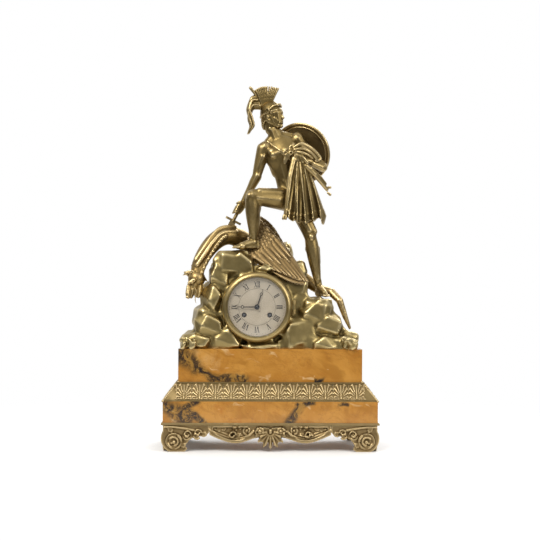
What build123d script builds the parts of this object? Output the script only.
from build123d import *
import math
import os

# Figural mantel clock of gilt bronze and yellow marble, in the manner of about 1830.
# A helmeted hero stands over a winged dragon, on a rock that holds a striking pendulum movement.
# Millimetres, +Z up, front towards -Y, origin on the floor under the middle of the base.

os.makedirs("parts", exist_ok=True)

# Driving dimensions of the base
MARBLE_WIDTH = 374.0
MARBLE_DEPTH = 156.0
LOWER_TIER_HEIGHT = 37.0
UPPER_TIER_HEIGHT = 58.0
TIER_STEP = 25.0
FRIEZE_HEIGHT = 32.0
FRIEZE_LIP = 3.0
FRAME_HEIGHT = 4.0
FRAME_LEDGE = 3.0
FRAME_BORDER = 18.0
FOOT_HEIGHT = 46.0
FOOT_LENGTH = 84.0
FOOT_RETURN = 52.0
FOOT_WALL = 10.0
ORNAMENT_RELIEF = 3.0
APRON_WALL = 7.0
TIE_ROD_RADIUS = 3.0
TIE_ROD_SPREAD = 236.0
TIE_ROD_Y = 18.0
TIE_ROD_GRIP = 28.0
TIE_NUT_RADIUS = 7.0
TIE_NUT_HEIGHT = 6.0
ROD_CLEARANCE = 0.3

# Driving dimensions of the clock: case, dial and hands
CLOCK_X = -24.0
BEZEL_RADIUS = 62.0
BEZEL_FOOT_GAP = 12.0
BEZEL_DEPTH = 12.0
SIGHT_RADIUS = 51.0
DIAL_RADIUS = 52.5
DIAL_THICKNESS = 1.2
GLASS_THICKNESS = 1.5
GLASS_DOME = 5.0
CASE_FRONT_Y = -46.0
CASE_BACK_Y = 44.0
CASE_RADIUS = 51.2
CASE_WALL = 1.2
FLANGE_THICKNESS = 2.0
FLANGE_WIDTH = 9.0
DOOR_THICKNESS = 1.6
HINGE_PIN_RADIUS = 1.2
KNUCKLE_RADIUS = 3.0
KNUCKLE_LENGTH = 8.0
MINUTE_HAND_LENGTH = 45.0
HOUR_HAND_LENGTH = 33.0
RUNNING_CLEARANCE = 0.05
SEAT_CLEARANCE = 0.3

# Driving dimensions of the movement
PLATE_RADIUS = 46.0
PLATE_THICKNESS = 2.0
PLATE_GAP = 30.0
DIAL_TO_PLATE = 8.0
PILLAR_RADIUS = 2.5
ARBOR_RADIUS = 1.3
PIVOT_RADIUS = 0.7
END_SHAKE = 0.15
BARREL_RADIUS = 18.5
BARREL_WALL = 1.2
WINDING_RADIUS = 2.2
WINDING_SQUARE = 3.2
SPRING_STRIP = 0.5
SPRING_TURNS = 7
BELL_RADIUS = 32.0
BELL_WALL = 1.6
BELL_DEPTH = 20.0
PENDULUM_Y = 2.0
PENDULUM_LENGTH = 130.0
SUSPENSION_HEIGHT = 41.0
BOB_RADIUS = 17.0
BOB_THICKNESS = 9.0
PENDULUM_ROD_RADIUS = 1.2
BOB_ROOM = 10.0

# Driving dimensions of the rock and its figures
ROCK_FRONT_Y = -34.0
ROCK_BACK_Y = CASE_BACK_Y
ROCK_WALL = 8.0
BOULDER_CHAMFER = 0.42
PLATEAU_HEIGHT = 177.0
LEDGE_HEIGHT = 92.0
SHIELD_RADIUS = 56.0
SHIELD_DEPTH = 11.0
SHIELD_WALL = 2.5
SHIELD_RIM = 8.0
STUD_RADIUS = 5.0
HELMET_RADIUS = 19.5
HELMET_WALL = 2.0
CREST_THICKNESS = 8.0
WING_THICKNESS = 4.0
BED_ROOM = 4.0
FEATHER_RELIEF = 2.0
FLEECE_THICKNESS = 4.5

# Levels and edges that follow from the driving dimensions
LOWER_BOTTOM = FOOT_HEIGHT + FRAME_HEIGHT
FRIEZE_BOTTOM = LOWER_BOTTOM + LOWER_TIER_HEIGHT
MARBLE_TOP = FRIEZE_BOTTOM + FRIEZE_HEIGHT + UPPER_TIER_HEIGHT
UPPER_WIDTH = MARBLE_WIDTH - 2 * TIER_STEP
UPPER_DEPTH = MARBLE_DEPTH - TIER_STEP
UPPER_Y = TIER_STEP / 2
FRAME_WIDTH = MARBLE_WIDTH + 2 * FRAME_LEDGE
FRAME_DEPTH = MARBLE_DEPTH + 2 * FRAME_LEDGE
CLOCK_Z = MARBLE_TOP + BEZEL_FOOT_GAP + BEZEL_RADIUS
FLANGE_FRONT_Y = CASE_FRONT_Y - FLANGE_THICKNESS
DIAL_FRONT_Y = FLANGE_FRONT_Y - DIAL_THICKNESS
BEZEL_FRONT_Y = FLANGE_FRONT_Y - BEZEL_DEPTH
FRONT_PLATE_Y = FLANGE_FRONT_Y + DIAL_TO_PLATE
GAP_FRONT_Y = FRONT_PLATE_Y + PLATE_THICKNESS
GAP_BACK_Y = GAP_FRONT_Y + PLATE_GAP
BACK_PLATE_Y = GAP_BACK_Y + PLATE_THICKNESS
TIE_ROD_PLACES = ((-TIE_ROD_SPREAD / 2, TIE_ROD_Y), (TIE_ROD_SPREAD / 2, TIE_ROD_Y))


def keep(name, piece):
    """Label a finished piece and write its STEP file."""
    piece.part.label = name
    export_step(piece.part, f"parts/{name}.step")


# Base: bronze frame, marble tiers and frieze
with BuildPart() as base_frame:
    with BuildSketch(Plane.XY.offset(FOOT_HEIGHT)):
        Rectangle(FRAME_WIDTH, FRAME_DEPTH)
        Rectangle(FRAME_WIDTH - 2 * FRAME_BORDER, FRAME_DEPTH - 2 * FRAME_BORDER, mode=Mode.SUBTRACT)
    extrude(amount=FRAME_HEIGHT)
    chamfer(base_frame.faces().sort_by(Axis.Z)[-1].outer_wire().edges(), FRAME_HEIGHT / 4)
keep("base_frame", base_frame)

with BuildPart() as lower_marble:
    with BuildSketch(Plane.XY.offset(LOWER_BOTTOM)):
        Rectangle(MARBLE_WIDTH, MARBLE_DEPTH)
        with Locations(*TIE_ROD_PLACES):
            Circle(TIE_ROD_RADIUS + ROD_CLEARANCE, mode=Mode.SUBTRACT)
    extrude(amount=LOWER_TIER_HEIGHT)
keep("lower_marble", lower_marble)

with BuildPart() as upper_marble:
    with BuildSketch(Plane.XY.offset(FRIEZE_BOTTOM)):
        with Locations((0, UPPER_Y)):
            Rectangle(UPPER_WIDTH, UPPER_DEPTH)
        with Locations(*TIE_ROD_PLACES):
            Circle(TIE_ROD_RADIUS + ROD_CLEARANCE, mode=Mode.SUBTRACT)
    extrude(amount=FRIEZE_HEIGHT + UPPER_TIER_HEIGHT)
    # Recess under the rock in which the pendulum bob swings
    with BuildSketch(Plane.XY.offset(MARBLE_TOP)):
        with Locations((CLOCK_X, PENDULUM_Y)):
            Rectangle(2 * (BOB_RADIUS + BOB_ROOM), BOB_THICKNESS + BOB_ROOM)
    bob_low = CLOCK_Z + SUSPENSION_HEIGHT - PENDULUM_LENGTH - BOB_RADIUS
    extrude(amount=bob_low - BOB_ROOM - MARBLE_TOP, mode=Mode.SUBTRACT)
keep("upper_marble", upper_marble)

with BuildPart() as frieze_moulding:
    with BuildLine():
        frieze_route = Polyline(
            (-UPPER_WIDTH / 2, MARBLE_DEPTH / 2, FRIEZE_BOTTOM),
            (-UPPER_WIDTH / 2, MARBLE_DEPTH / 2 - UPPER_DEPTH, FRIEZE_BOTTOM),
            (UPPER_WIDTH / 2, MARBLE_DEPTH / 2 - UPPER_DEPTH, FRIEZE_BOTTOM),
            (UPPER_WIDTH / 2, MARBLE_DEPTH / 2, FRIEZE_BOTTOM),
        )
    with BuildSketch(Plane(origin=frieze_route @ 0, x_dir=(1, 0, 0), z_dir=(0, -1, 0))):
        with BuildLine():
            foot_lip = Polyline((0, 0), (-TIER_STEP, 0), (-TIER_STEP, FRIEZE_LIP),
                (1 - TIER_STEP, FRIEZE_LIP))
            slope = ThreePointArc(
                foot_lip @ 1,
                (-0.56 * TIER_STEP, 0.5 * FRIEZE_HEIGHT),
                (-FRIEZE_LIP, FRIEZE_HEIGHT - FRIEZE_LIP),
            )
            Polyline(
                slope @ 1,
                (-FRIEZE_LIP - 1, FRIEZE_HEIGHT - FRIEZE_LIP),
                (-FRIEZE_LIP - 1, FRIEZE_HEIGHT),
                (0, FRIEZE_HEIGHT),
                (0, 0),
            )
        make_face()
    sweep(path=frieze_route, transition=Transition.RIGHT)
keep("frieze_moulding", frieze_moulding)


# Scrolled feet and apron
def volute(radius, band, turns):
    """Flat scroll: a band that winds inwards in half-turn arcs."""
    step = 0.8 * band
    outer = [radius - step * i for i in range(2 * turns + 1)]
    with BuildSketch() as scroll:
        with BuildLine():
            for i in range(2 * turns):
                side = 1 if i % 2 == 0 else -1
                for inset in (0, band):
                    start = side * (outer[i] - inset)
                    end = -side * (outer[i + 1] - inset)
                    bulge = side * (abs(start) + abs(end)) / 2
                    ThreePointArc((start, 0), ((start + end) / 2, bulge), (end, 0))
            Line((outer[0], 0), (outer[0] - band, 0))
            Line((outer[-1], 0), (outer[-1] - band, 0))
        make_face()
    return scroll.sketch


def foot_outline():
    """Front outline of a scrolled foot, from the outer corner of the frame inwards."""
    with BuildSketch() as outline:
        with BuildLine():
            neck = Line((3.5, FOOT_HEIGHT), (3.5, FOOT_HEIGHT - 10))
            heel = ThreePointArc(neck @ 1, (1.2, 15), (14, 0))
            toe = Polyline(heel @ 1, (41, 0), (46, 4), (43, 10))
            instep = ThreePointArc(toe @ 1, (51, 21), (66, 27))
            leaf = ThreePointArc(instep @ 1, (77, 27.5), (FOOT_LENGTH, 34))
            Polyline(leaf @ 1, (FOOT_LENGTH, FOOT_HEIGHT), neck @ 0)
        make_face()
    return outline.sketch


def scroll_foot(front, volutes):
    """Corner foot with a long front leaf and a shorter side return, on the left of the base."""
    corner = Vector(-FRAME_WIDTH / 2, front * (FRAME_DEPTH / 2 - ORNAMENT_RELIEF), 0)
    face = Plane(origin=corner, x_dir=(1, 0, 0), z_dir=(0, -1, 0))
    side = Plane(origin=corner, x_dir=(0, -front, 0), z_dir=(-front, 0, 0))
    with BuildPart() as foot:
        with BuildSketch(face):
            add(foot_outline())
        extrude(amount=front * FOOT_WALL)
        with BuildSketch(side.offset(-front * ORNAMENT_RELIEF)):
            add(foot_outline())
            Rectangle(FOOT_RETURN, FOOT_HEIGHT, align=(Align.MIN, Align.MIN), mode=Mode.INTERSECT)
        extrude(amount=-front * FOOT_WALL)
        if volutes:
            with BuildSketch(face):
                with Locations((21, 18)):
                    add(volute(16, 4, 2))
                with Locations((46, 30), (64, 33)):
                    add(volute(7.5, 2.2, 1))
            extrude(amount=ORNAMENT_RELIEF)
    return foot.part


with BuildPart() as front_feet:
    add(scroll_foot(-1, True))
    mirror(about=Plane.YZ)
keep("front_feet", front_feet)

with BuildPart() as rear_feet:
    add(scroll_foot(1, False))
    mirror(about=Plane.YZ)
keep("rear_feet", rear_feet)

APRON_HALF = FRAME_WIDTH / 2 - FOOT_LENGTH
PALMETTE_LEAVES = 9
PALMETTE_LENGTH = 33.0
PALMETTE_RISE = 40.0
apron_face = Plane(
    origin=(0, -FRAME_DEPTH / 2 + ORNAMENT_RELIEF, 0), x_dir=(1, 0, 0), z_dir=(0, -1, 0)
)
with BuildPart() as front_apron:
    with BuildSketch(apron_face):
        with BuildLine():
            swag = Spline(
                (0, 22), (0.26 * APRON_HALF, 23), (0.55 * APRON_HALF, 14.5),
                (0.8 * APRON_HALF, 20), (APRON_HALF, 29),
            )
            Polyline(swag @ 1, (APRON_HALF, FOOT_HEIGHT), (0, FOOT_HEIGHT), swag @ 0)
        make_face()
        mirror(about=Plane.YZ)
    extrude(amount=-APRON_WALL)
    # Sunk panels leave a raised border along the swag
    with BuildSketch(apron_face):
        with BuildLine():
            panel = Spline(
                (0.36 * APRON_HALF, 28), (0.55 * APRON_HALF, 20), (0.8 * APRON_HALF, 26),
                (0.94 * APRON_HALF, 34)
            )
            Polyline(
                panel @ 1, (0.94 * APRON_HALF, FOOT_HEIGHT - 4),
                (0.36 * APRON_HALF, FOOT_HEIGHT - 4), panel @ 0
            )
        make_face()
        mirror(about=Plane.YZ)
    extrude(amount=-APRON_WALL / 2, mode=Mode.SUBTRACT)
    # Palmette of leaves that fan out downwards between two scrolls
    with BuildSketch(apron_face.offset(-APRON_WALL)):
        for leaf in range(PALMETTE_LEAVES):
            spread = (leaf / (PALMETTE_LEAVES - 1) - 0.5) * 170
            reach = PALMETTE_LENGTH * (0.72 + 0.28 * math.cos(math.radians(spread)))
            with Locations((0, PALMETTE_RISE)):
                with PolarLocations(0.56 * reach, 1, start_angle=spread - 90):
                    Ellipse(0.5 * reach, 3.4)
    extrude(amount=APRON_WALL + ORNAMENT_RELIEF)
    with BuildSketch(apron_face.offset(-APRON_WALL / 2)):
        with Locations((-21, 34), (21, 34)):
            add(volute(7.5, 2.2, 1))
        with Locations((-0.62 * APRON_HALF, 29), (0.62 * APRON_HALF, 29)):
            add(volute(7.5, 2.2, 1))
    extrude(amount=APRON_WALL / 2 + ORNAMENT_RELIEF)
keep("front_apron", front_apron)

# Iron tie rods that pull the rock down on the marble, with hexagon nuts under the lower tier
with BuildPart() as tie_rods:
    with BuildSketch(Plane.XY.offset(LOWER_BOTTOM - TIE_NUT_HEIGHT - FRAME_HEIGHT / 2)):
        with Locations(*TIE_ROD_PLACES):
            Circle(TIE_ROD_RADIUS)
    extrude(amount=MARBLE_TOP + TIE_ROD_GRIP - (LOWER_BOTTOM - TIE_NUT_HEIGHT - FRAME_HEIGHT / 2))
    with BuildSketch(Plane.XY.offset(LOWER_BOTTOM - TIE_NUT_HEIGHT)):
        with Locations(*TIE_ROD_PLACES):
            RegularPolygon(TIE_NUT_RADIUS, 6)
    extrude(amount=TIE_NUT_HEIGHT)
keep("tie_rods", tie_rods)


# Rock mound: a cast shell of boulders with the bore for the clock, open pockets at the back
def above(x, y, z):
    """Point of the sculpture, with its height measured from the top of the marble."""
    return Vector(x, y, MARBLE_TOP + z)


def boulder(x, y, z, half_width, half_depth, half_height, roll, yaw):
    """One hewn boulder: a block with broad chamfers, turned a little."""
    with BuildPart() as stone:
        with Locations(Location(above(x, y, z), (0, roll, yaw))):
            Box(2 * half_width, 2 * half_depth, 2 * half_height)
        chamfer(stone.edges(), BOULDER_CHAMFER * min(half_width, half_depth, half_height))
    return stone.part


ROCK_OUTLINE = (
    (-158, 0), (-156, 24), (-132, 40), (-124, 76), (-120, 112), (-104, 120), (-102, 168),
    (-94, PLATEAU_HEIGHT),
    (-38, PLATEAU_HEIGHT), (-30, 150), (14, 148), (20, 172), (36, 172), (42, 150), (66, 128),
    (70, LEDGE_HEIGHT), (112, LEDGE_HEIGHT), (118, 58), (138, 36), (156, 12), (158, 0),
)
BOULDERS = (
    (-114, -16, 54, 25, 32, 24, 8, 14),
    (-84, -26, 20, 26, 26, 21, -6, -8),
    (-126, -10, 14, 24, 38, 16, 5, 10),
    (-14, -30, 4, 30, 22, 10, 3, 4),
    (50, -24, 28, 36, 26, 30, -12, 10),
    (106, -10, 10, 46, 42, 14, 4, -6),
    (84, -16, 66, 30, 32, 27, 9, -12),
    (108, -2, 42, 21, 36, 20, -14, 8),
    (-72, -16, 152, 30, 30, 26, 7, 6),
    (-24, -10, 134, 34, 26, 18, -9, -7),
    (-103, -10, 92, 14, 32, 28, 6, 12),
    (-94, -14, 132, 14, 30, 34, -5, 9),
    (27, 6, 166, 10, 22, 19, 6, -10),
    (46, 4, 140, 20, 28, 18, -18, 12),
    (48, -8, 110, 24, 28, 18, 10, -8),
    (138, -4, 18, 17, 36, 17, 12, 16),
    (-144, -2, 12, 14, 38, 14, -8, -12),
)
POCKETS = (
    (-112, -82, 8, 112),
    (38, 98, 8, 82),
    (-90, -34, 132, 160),
)
CASE_BORE = CASE_RADIUS + SEAT_CLEARANCE
BEZEL_ROOM = BEZEL_RADIUS + 1.5
HINGE_X = CLOCK_X + BEZEL_RADIUS + KNUCKLE_RADIUS + 0.5
DOOR_AXIS_X = CLOCK_X - CASE_RADIUS - KNUCKLE_RADIUS - 0.5
DOOR_LEAF = 3.0
PASSAGE_HALF = BOB_RADIUS + BOB_ROOM


def clock_plane(depth, place=(0, 0)):
    """Plane across the movement at the given Y, seen from the front, centred on one arbor."""
    return Plane(
        origin=(CLOCK_X + place[0], depth, CLOCK_Z + place[1]), x_dir=(1, 0, 0), z_dir=(0, -1, 0)
    )


# Dragon: a long round trunk that winds over the rock, a neck with the head, and one spread wing
def trunk(stations, before=None, straight=False):
    """Round trunk through stations of centre and radius, lofted from circles square to its run."""
    centres = [above(*place) for place, _ in stations]
    start = above(*before) if before else centres[0]
    with BuildPart() as solid:
        for i, (_, radius) in enumerate(stations):
            run = centres[min(i + 1, len(centres) - 1)] - (centres[i - 1] if i else start)
            with BuildSketch(Plane(origin=centres[i], x_dir=Vector(0, 1, 0).cross(run), z_dir=run)):
                Circle(radius)
        loft(ruled=straight)
    return solid.part


def limb(start, end, radii):
    """Round limb between two points: a swelling profile with rounded ends, turned on its axis."""
    foot = above(*start)
    run = above(*end) - foot
    side = run.cross(Vector(0, 1, 0.37))
    last = len(radii) - 1
    flank = [(run.length * i / last, radius) for i, radius in enumerate(radii)]
    first, final = radii[0], radii[-1]
    with BuildPart() as solid:
        with BuildSketch(Plane(origin=foot, x_dir=run, z_dir=side)):
            with BuildLine():
                root = ThreePointArc((-0.7 * first, 0), (-0.52 * first, 0.7 * first), flank[0])
                Spline(*flank)
                tip = ThreePointArc(
                    flank[-1], (run.length + 0.52 * final, 0.7 * final), (run.length + 0.7 * final, 0)
                )
                Line(tip @ 1, root @ 0)
            make_face()
        revolve(axis=Axis(foot, run))
    return solid.part


NECK_ROOT = ((-42, 30, 190), 16.5)
NECK_STATIONS = (
    NECK_ROOT, ((-66, 13, 202), 17), ((-90, 2, 199), 16.5), ((-110, -6, 181), 15.5),
    ((-125, -14, 156), 13.5), ((-131, -20, 134), 12),
)
BODY_STATIONS = (
    NECK_ROOT, ((-14, 36, 178), 18), ((24, 36, 156), 16), ((62, 30, 126), 12.5), ((92, 26, 106), 9.5),
    ((112, 8, 101), 8), ((126, -4, 86), 6.8), ((136, -2, 58), 5.2), ((146, 0, 34), 2.5),
)
WING_ROOT = (-36, -16, 165)
WING_TIP = (64, -44, 117)
WING_TOP = (-20, 14, 242)
FEATHERS = 8
wing_run = above(*WING_TIP) - above(*WING_ROOT)
wing_face = Plane(
    origin=above(*WING_ROOT), x_dir=wing_run, z_dir=wing_run.cross(above(*WING_TOP) - above(*WING_ROOT))
)
with BuildSketch(wing_face) as wing_outline:
    with BuildLine():
        under = Spline((-4, -10), (30, -6), (70, -10), (113, -2))
        leading = Spline(under @ 1, (91, 21), (46, 48), (4, 74), (-22, 80))
        Spline(leading @ 1, (-25, 58), (-12, 20), under @ 0)
    make_face()


def bed(start, end, half):
    """Square channel in which one stretch of the trunk lies."""
    run = above(*end) - above(*start)
    with BuildPart() as channel:
        middle = (above(*start) + above(*end)) / 2
        with BuildSketch(Plane(origin=middle, x_dir=Vector(0, 1, 0).cross(run), z_dir=run)):
            Rectangle(2 * half, 2 * half)
        extrude(amount=0.5 * run.length + 0.4 * half, both=True)
    return channel.part


SWORD_AXIS = Vector(-0.45, 0, -0.893)
SWORD_GUARD = (-68, 4, 228)
BLADE_LENGTH = 36.0
BLADE_WIDTH = 11.0
BLADE_THICKNESS = 3.0
GRIP_LENGTH = 38.0
GRIP_RADIUS = 3.2
POMMEL_RADIUS = 5.0
sword_plane = Plane(origin=above(*SWORD_GUARD), x_dir=(0, 1, 0), z_dir=SWORD_AXIS)

with BuildPart() as sword:
    with BuildSketch(sword_plane):
        Rectangle(BLADE_THICKNESS, BLADE_WIDTH)
    extrude(amount=BLADE_LENGTH)
    with BuildSketch(sword_plane):
        SlotOverall(9, 6)
        SlotOverall(30, 5, rotation=90)
    extrude(amount=-4)
    with BuildSketch(sword_plane):
        Circle(GRIP_RADIUS)
    extrude(amount=-GRIP_LENGTH)
    with Locations(sword_plane.offset(-GRIP_LENGTH)):
        Sphere(POMMEL_RADIUS)
keep("sword", sword)

with BuildPart() as wing_bed:
    with BuildSketch(wing_face):
        with BuildLine():
            Polyline(
                (-10, -16), (117, -14), (117, 4), (94, 26), (46, 54), (4, 80), (-28, 88), (-31, 56),
                close=True
            )
        make_face()
    extrude(amount=WING_THICKNESS + FEATHER_RELIEF, both=True)

back_plane = Plane(origin=(0, ROCK_BACK_Y, MARBLE_TOP), x_dir=(1, 0, 0), z_dir=(0, -1, 0))
with BuildPart() as rock_mound:
    with BuildSketch(back_plane):
        with BuildLine():
            Polyline(*ROCK_OUTLINE, close=True)
        make_face()
    extrude(amount=ROCK_BACK_Y - ROCK_FRONT_Y)
    for row in BOULDERS:
        add(boulder(*row))
    with BuildSketch(clock_plane(ROCK_FRONT_Y)):
        Circle(BEZEL_ROOM)
    extrude(amount=ROCK_FRONT_Y - CASE_FRONT_Y)
    # Flat underside, flat seats for the two feet of the figure, and room in front for the bezel
    split(bisect_by=Plane.XY.offset(MARBLE_TOP), keep=Keep.TOP)
    with BuildSketch(Plane.XY.offset(MARBLE_TOP + PLATEAU_HEIGHT)):
        with Locations((-66, -10)):
            Rectangle(100, 120)
    extrude(amount=40, mode=Mode.SUBTRACT)
    with BuildSketch(Plane.XY.offset(MARBLE_TOP + LEDGE_HEIGHT)):
        with Locations((94, -8)):
            Rectangle(46, 110)
    extrude(amount=40, mode=Mode.SUBTRACT)
    with BuildSketch(clock_plane(CASE_FRONT_Y)):
        Circle(BEZEL_ROOM)
        with Locations((HINGE_X - CLOCK_X, 0)):
            Rectangle(4 * KNUCKLE_RADIUS, 4 * KNUCKLE_LENGTH)
    extrude(amount=2 * BEZEL_DEPTH, mode=Mode.SUBTRACT)
    # Bore for the drum case, and the passage in which the pendulum hangs
    with BuildSketch(clock_plane(ROCK_BACK_Y)):
        Circle(CASE_BORE)
    extrude(amount=ROCK_BACK_Y - CASE_FRONT_Y, mode=Mode.SUBTRACT)
    with BuildSketch(back_plane):
        with Locations((CLOCK_X, 0)):
            Rectangle(2 * PASSAGE_HALF, CLOCK_Z - MARBLE_TOP, align=(Align.CENTER, Align.MIN))
    extrude(amount=ROCK_BACK_Y - PENDULUM_Y + BOB_THICKNESS / 2 + BOB_ROOM / 2, mode=Mode.SUBTRACT)
    # Relief at the back for the hinge of the rear door
    with BuildSketch(back_plane):
        with Locations((DOOR_AXIS_X, CLOCK_Z - MARBLE_TOP)):
            Rectangle(4 * KNUCKLE_RADIUS, 3.4 * KNUCKLE_LENGTH)
    extrude(amount=DOOR_LEAF + 1, mode=Mode.SUBTRACT)
    # Pockets that lighten the casting
    with BuildSketch(back_plane):
        for left, right, low, high in POCKETS:
            with Locations(((left + right) / 2, (low + high) / 2)):
                Rectangle(right - left, high - low)
    extrude(amount=ROCK_BACK_Y - ROCK_FRONT_Y - ROCK_WALL, mode=Mode.SUBTRACT)
    # Beds for the dragon's neck, trunk and wing
    for stations in (NECK_STATIONS, BODY_STATIONS):
        for (start, radius), (end, _) in zip(stations, stations[1:]):
            add(bed(start, end, radius + BED_ROOM), mode=Mode.SUBTRACT)
    add(wing_bed.part, mode=Mode.SUBTRACT)
    # Blind holes for the tie rods
    with BuildSketch(Plane.XY.offset(MARBLE_TOP)):
        with Locations(*TIE_ROD_PLACES):
            Circle(TIE_ROD_RADIUS + RUNNING_CLEARANCE)
    extrude(amount=TIE_ROD_GRIP + ROD_CLEARANCE, mode=Mode.SUBTRACT)
keep("rock_mound", rock_mound)

with BuildPart() as dragon_neck:
    add(trunk(NECK_STATIONS, before=BODY_STATIONS[1][0]))
    with Locations(above(-132, -22, 124)):
        Sphere(15.5)
    add(trunk((((-134, -24, 122), 11.5), ((-140, -29, 106), 9.5), ((-145, -33, 90), 6))))
    add(trunk((((-128, -22, 118), 8), ((-128, -28, 102), 6), ((-129, -32, 90), 3.5))))
    add(trunk((((-136, -18, 124), 5.5), ((-146, -17, 131), 4), ((-155, -18, 136), 1.5))))
    add(trunk((((-128, -14, 126), 5.5), ((-131, -4, 136), 4), ((-136, 2, 143), 1.5))))
    with BuildSketch(sword_plane):
        Rectangle(BLADE_THICKNESS + 2 * RUNNING_CLEARANCE, BLADE_WIDTH + 2 * RUNNING_CLEARANCE)
    extrude(amount=BLADE_LENGTH + RUNNING_CLEARANCE, mode=Mode.SUBTRACT)
keep("dragon_neck", dragon_neck)

with BuildPart() as dragon_body:
    add(trunk(BODY_STATIONS, before=NECK_STATIONS[1][0], straight=True))
keep("dragon_body", dragon_body)

with BuildPart() as dragon_wing:
    add(wing_outline.sketch)
    extrude(amount=-WING_THICKNESS)
    # Long feathers fan out from the shoulder of the wing to its trailing edge
    with BuildSketch(wing_face):
        for feather in range(FEATHERS):
            share = feather / (FEATHERS - 1)
            root = Vector(-14 + 16 * share, 44 - 46 * share)
            tip = Vector(20 + 84 * share, 62 - 63 * share)
            quill = tip - root
            slant = math.degrees(math.atan2(quill.Y, quill.X))
            with Locations(Location((root + tip) / 2, (0, 0, slant))):
                Ellipse(0.5 * quill.length, 4.6)
        add(wing_outline.sketch_local, mode=Mode.INTERSECT)
    extrude(amount=FEATHER_RELIEF)
keep("dragon_wing", dragon_wing)


# Figure: body with legs, separate arms, head, helmet and crest, shield and fleece
def section(place, half_width, half_depth, lean):
    """Elliptical section of the torso, its left side raised by the lean in degrees."""
    angle = math.radians(lean)
    tilt = Plane(
        origin=above(*place), x_dir=(math.cos(angle), 0, math.sin(angle)),
        z_dir=(-math.sin(angle), 0, math.cos(angle))
    )
    with BuildSketch(tilt) as face:
        Ellipse(half_width, half_depth)
    return face.sketch


def sole(foot, level):
    """Foot cut flat where it stands on the rock."""
    with BuildPart() as flat:
        add(foot)
        split(bisect_by=Plane.XY.offset(MARBLE_TOP + level), keep=Keep.TOP)
    return flat.part


def body_with_legs(grow):
    """Torso, both legs and feet as one casting; grow thickens it to cut clearances in what lies on it."""
    with BuildPart() as torso:
        sections = [
            section((41, 0, 250), 17 + grow, 14 + grow, -8),
            section((39, 1, 272), 25 + grow, 18 + grow, -10),
            section((28, 0, 306), 21 + grow, 15 + grow, 0),
            section((21, -2, 335), 28 + grow, 18.5 + grow, 10),
            section((18, -2, 356), 31 + grow, 19.5 + grow, 16),
            section((17, 0, 376), 23 + grow, 13 + grow, 14),
            section((13, 3, 386), 10 + grow, 10 + grow, 6),
            section((8, 2, 400), 8.5 + grow, 9 + grow, -10),
        ]
        for face in sections:
            add(face)
        loft()
        split(bisect_by=RIGHT_SHOULDER, keep=Keep.BOTTOM)
        split(bisect_by=LEFT_SHOULDER, keep=Keep.BOTTOM)
        split(bisect_by=NECK_CUT, keep=Keep.BOTTOM)
    with BuildPart() as body:
        add(torso.part)
        add(limb((33, -8, 266), (-34, -34, 271), (19 + grow, 19 + grow, 17 + grow, 13.5 + grow)))
        add(limb((-34, -34, 270), (-31, -22, 190), (12.5 + grow, 13.5 + grow, 10 + grow, 6.8 + grow)))
        add(limb((53, 6, 258), (73, -6, 198), (18.5 + grow, 18 + grow, 14.5 + grow, 12 + grow)))
        add(limb((73, -6, 198), (89, 3, 104), (12 + grow, 12.8 + grow, 9.5 + grow, 6.5 + grow)))
        add(sole(limb((-26, -19, 184), (-66, -34, 180),
            (7.2 + grow, 8 + grow, 6.5 + grow, 4.5 + grow)), PLATEAU_HEIGHT))
        add(sole(limb((89, 6, 98), (100, -26, 95), (7 + grow, 7.5 + grow, 6 + grow, 4.2 + grow)),
            LEDGE_HEIGHT))
    return body.part


RIGHT_SHOULDER = Plane(origin=above(-9, 0, 356), x_dir=(0, 1, 0), z_dir=(-1, 0, 0))
LEFT_SHOULDER = Plane(origin=above(43, 0, 374), x_dir=(0, 1, 0), z_dir=(0.97, 0, 0.24))
NECK_CUT = Plane(origin=above(9, 2, 396), x_dir=(1, 0, 0.1), z_dir=(-0.1, 0, 1))

with BuildPart() as figure_body:
    add(body_with_legs(0))
keep("figure_body", figure_body)


def arm(joints, shoulder, grow):
    """Arm from shoulder to fist, cut flat where it is screwed to the shoulder."""
    with BuildPart() as solid:
        for start, end, radii in joints:
            add(limb(start, end, [radius + grow for radius in radii]))
        split(bisect_by=shoulder, keep=Keep.TOP)
    return solid.part


RIGHT_ARM = (
    ((-13, -4, 361), (-26, -2, 311), (13.5, 12, 10.5, 8.5)),
    ((-26, -2, 310), (-46, 4, 267), (8.2, 9, 7, 6)),
    ((-47, 4, 265), (-58, 4, 245), (6.5, 8, 6)),
)
LEFT_ARM = (
    ((47, 4, 376), (92, -4, 328), (13.5, 12.5, 11, 9)),
    ((92, -4, 328), (58, -24, 340), (8.6, 9.5, 7.5, 6)),
    ((57, -25, 340), (47, -28, 343), (6.5, 8.5, 7)),
)

with BuildPart() as right_arm:
    add(arm(RIGHT_ARM, RIGHT_SHOULDER, 0))
    with BuildSketch(sword_plane):
        Circle(GRIP_RADIUS + RUNNING_CLEARANCE)
    extrude(amount=-GRIP_LENGTH - GRIP_RADIUS, mode=Mode.SUBTRACT)
    with Locations(sword_plane.offset(-GRIP_LENGTH)):
        Sphere(POMMEL_RADIUS + RUNNING_CLEARANCE, mode=Mode.SUBTRACT)
keep("right_arm", right_arm)

with BuildPart() as left_arm:
    add(arm(LEFT_ARM, LEFT_SHOULDER, 0))
keep("left_arm", left_arm)

HEAD_CENTRE = (2, 0, 424)
HEAD_UP = Vector(-0.25, 0, 0.97)
CHIN_DROP = 19.0
HELMET_BROW = 5.0
HELMET_HEIGHT = 20.0
PEAK_REACH = 1.5
HEAD_SIDE = HEAD_UP.cross(Vector(0.9, -0.36, 0))
head_plane = Plane(origin=above(*HEAD_CENTRE), x_dir=HEAD_SIDE.cross(HEAD_UP), z_dir=HEAD_UP)
brow_plane = head_plane.offset(HELMET_BROW)

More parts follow.
